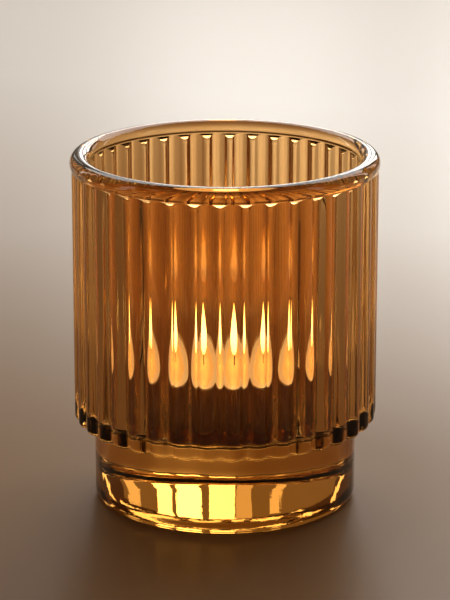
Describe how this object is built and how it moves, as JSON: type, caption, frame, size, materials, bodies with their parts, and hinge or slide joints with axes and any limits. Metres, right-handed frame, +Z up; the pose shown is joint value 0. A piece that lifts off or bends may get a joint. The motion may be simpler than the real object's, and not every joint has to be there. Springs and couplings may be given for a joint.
{
  "type": "tealight holder",
  "caption": "Ribbed amber glass tumbler with a rolled rim and a narrower plain foot, holding a lit tealight in an aluminium cup.",
  "frame": {"origin": "centre of the foot's underside, on the surface that the holder stands on", "axes": "+Z up along the holder's axis out of the mouth, -Y towards the viewer, +X to the viewer's right; a rib's crown faces -Y"},
  "size_m": [0.0606, 0.0606, 0.07],
  "materials": {
    "amber_glass": "polished pressed glass, clear amber",
    "cup_aluminium": "thin pressed foil, satin",
    "solid_wax": "solid paraffin wax, slightly translucent",
    "liquid_wax": "melted paraffin wax, wet and clear",
    "burnt_wick": "braided cotton, charred",
    "tinplate": "tinned sheet, satin"
  },
  "bodies": {
    "holder": {"glass_holder": "amber_glass"},
    "tealight": {"tealight_cup": "cup_aluminium", "wax_body": "solid_wax", "melted_wax": "liquid_wax", "wick": "burnt_wick", "wick_sustainer": "tinplate"}
  },
  "joints": [
    {"name": "tealight_lift", "type": "slide", "parent": "holder", "child": "tealight", "axis": [0, 0, 1], "range_m": [0, 0.06]}
  ]
}
